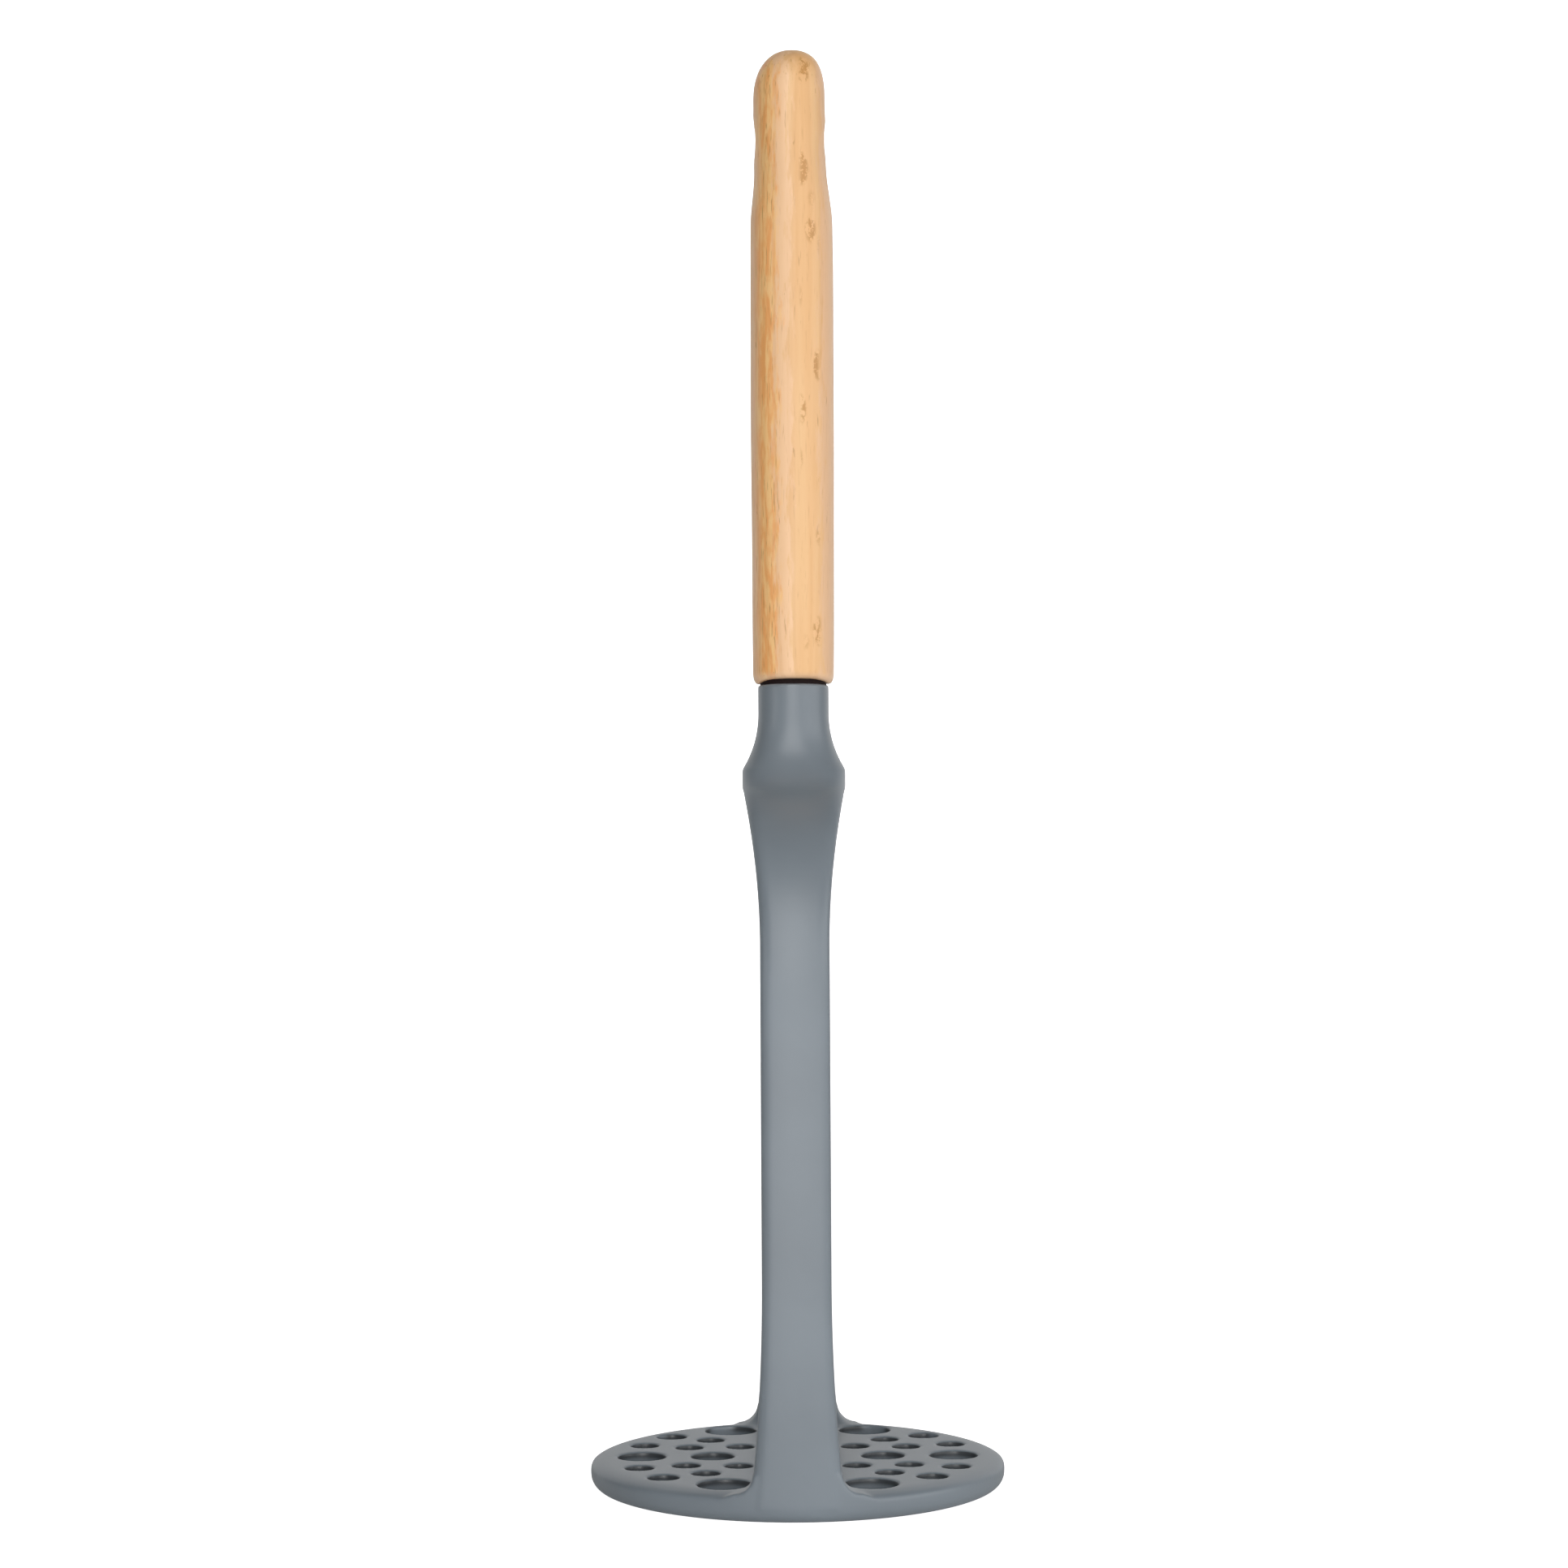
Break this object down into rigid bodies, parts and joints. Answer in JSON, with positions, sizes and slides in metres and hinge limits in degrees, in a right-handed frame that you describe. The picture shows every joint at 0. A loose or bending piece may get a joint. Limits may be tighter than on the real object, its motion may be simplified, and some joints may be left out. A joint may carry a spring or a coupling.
{
  "type": "potato masher",
  "caption": "Potato masher with an oval wooden handle, an arched shank and a round perforated mashing plate, soft grey over a stiff inner core.",
  "frame": {"origin": "middle of the mashing plate's flat underside", "axes": "+Z from the plate up the handle; the arch stands in the YZ plane with its arms at -Y and +Y; X is across the strap"},
  "size_m": [0.084, 0.084, 0.2912],
  "materials": {
    "beech": "satin oiled",
    "silicone": "matte",
    "core_nylon": "matte",
    "adhesive": "cured, dull"
  },
  "bodies": {
    "root": {"beech_handle": "beech", "masher_head": "silicone", "head_core": "core_nylon", "tang_adhesive": "adhesive"}
  },
  "joints": []
}
